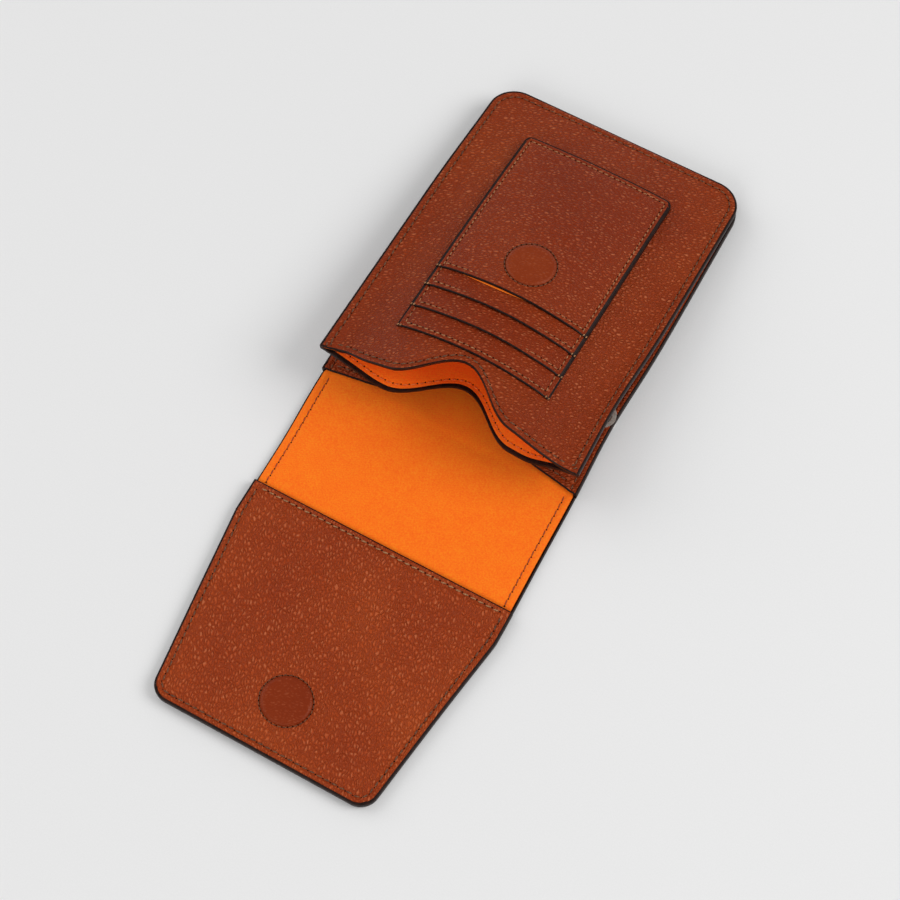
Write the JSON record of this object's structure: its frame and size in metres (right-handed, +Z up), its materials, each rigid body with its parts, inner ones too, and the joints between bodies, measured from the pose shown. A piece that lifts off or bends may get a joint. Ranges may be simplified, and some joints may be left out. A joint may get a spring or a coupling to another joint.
{
  "type": "phone wallet case",
  "caption": "Leather phone wallet lying open: a lined phone pouch with stepped card pockets, a slip pocket behind it and a wrap-over flap that closes on magnets.",
  "frame": {"origin": "middle of the open case's footprint, on the surface that it lies on", "axes": "+Y towards the sewn far end of the pouch, -Y towards the flap's end, +X across to the right, +Z up out of the pouch's front"},
  "size_m": [0.1076, 0.284, 0.0381],
  "materials": {
    "case_leather": "pebbled tan hide, satin, edges painted dark brown",
    "facing_leather": "pebbled tan hide, satin",
    "card_leather": "pebbled tan hide skived thin, satin",
    "lining_twill": "bright orange cotton twill",
    "stiffener_board": "bonded leather-fibre board, hidden",
    "magnet_steel": "plated magnet disc, hidden under leather",
    "eyelet_nickel": "polished nickel plate"
  },
  "bodies": {
    "back": {"back_leather": "case_leather", "back_stiffener": "stiffener_board", "back_lining": "lining_twill", "slip_pocket_panel": "facing_leather", "strap_eyelet_left": "eyelet_nickel", "strap_eyelet_right": "eyelet_nickel", "eyelet_washer_left": "eyelet_nickel", "eyelet_washer_right": "eyelet_nickel"},
    "wrap_1": {"wrap_leather_1": "case_leather", "wrap_lining_1": "lining_twill"},
    "wrap_2": {"wrap_leather_2": "case_leather", "wrap_lining_2": "lining_twill"},
    "wrap_3": {"wrap_leather_3": "case_leather", "wrap_lining_3": "lining_twill"},
    "wrap_4": {"wrap_leather_4": "case_leather", "wrap_lining_4": "lining_twill"},
    "wrap_5": {"wrap_leather_5": "case_leather", "wrap_lining_5": "lining_twill"},
    "flap": {"flap_leather": "case_leather", "flap_lining": "lining_twill", "flap_stiffener": "stiffener_board", "flap_magnet": "magnet_steel", "flap_facing": "facing_leather"},
    "pouch": {"pouch_front_lining": "lining_twill", "pouch_front_leather": "case_leather", "pouch_back_lining": "lining_twill", "pouch_back_leather": "case_leather", "card_base_panel": "card_leather", "card_pocket_lower": "card_leather", "card_pocket_middle": "card_leather", "card_lining_lower": "lining_twill", "card_lining_middle": "lining_twill", "card_pocket_top": "card_leather", "pocket_magnet": "magnet_steel"}
  },
  "joints": [
    {"name": "wrap_bend_1", "type": "hinge", "parent": "back", "child": "wrap_1", "pos_m": [0, -0.0077, 0.0027], "axis": [-1, 0, 0], "range_deg": [0, 30.66]},
    {"name": "wrap_bend_2", "type": "hinge", "parent": "wrap_1", "child": "wrap_2", "pos_m": [0, -0.0165, 0.0027], "axis": [-1, 0, 0], "range_deg": [0, 30.66]},
    {"name": "wrap_bend_3", "type": "hinge", "parent": "wrap_2", "child": "wrap_3", "pos_m": [0, -0.0253, 0.0027], "axis": [-1, 0, 0], "range_deg": [0, 30.66]},
    {"name": "wrap_bend_4", "type": "hinge", "parent": "wrap_3", "child": "wrap_4", "pos_m": [0, -0.0341, 0.0027], "axis": [-1, 0, 0], "range_deg": [0, 30.66]},
    {"name": "wrap_bend_5", "type": "hinge", "parent": "wrap_4", "child": "wrap_5", "pos_m": [0, -0.0429, 0.0027], "axis": [-1, 0, 0], "range_deg": [0, 30.66]},
    {"name": "wrap_bend_6", "type": "hinge", "parent": "wrap_5", "child": "flap", "pos_m": [0, -0.0517, 0.0027], "axis": [-1, 0, 0], "range_deg": [0, 30.66]},
    {"name": "pouch_press", "type": "hinge", "parent": "back", "child": "pouch", "pos_m": [0, 0.138, 0.006], "axis": [1, 0, 0], "range_deg": [0, 4]}
  ],
  "couplings": [
    {"joint": "wrap_bend_2", "follows": "wrap_bend_1", "ratio": 1},
    {"joint": "wrap_bend_3", "follows": "wrap_bend_1", "ratio": 1},
    {"joint": "wrap_bend_4", "follows": "wrap_bend_1", "ratio": 1},
    {"joint": "wrap_bend_5", "follows": "wrap_bend_1", "ratio": 1},
    {"joint": "wrap_bend_6", "follows": "wrap_bend_1", "ratio": 1},
    {"joint": "pouch_press", "follows": "wrap_bend_1", "ratio": 0.13}
  ]
}
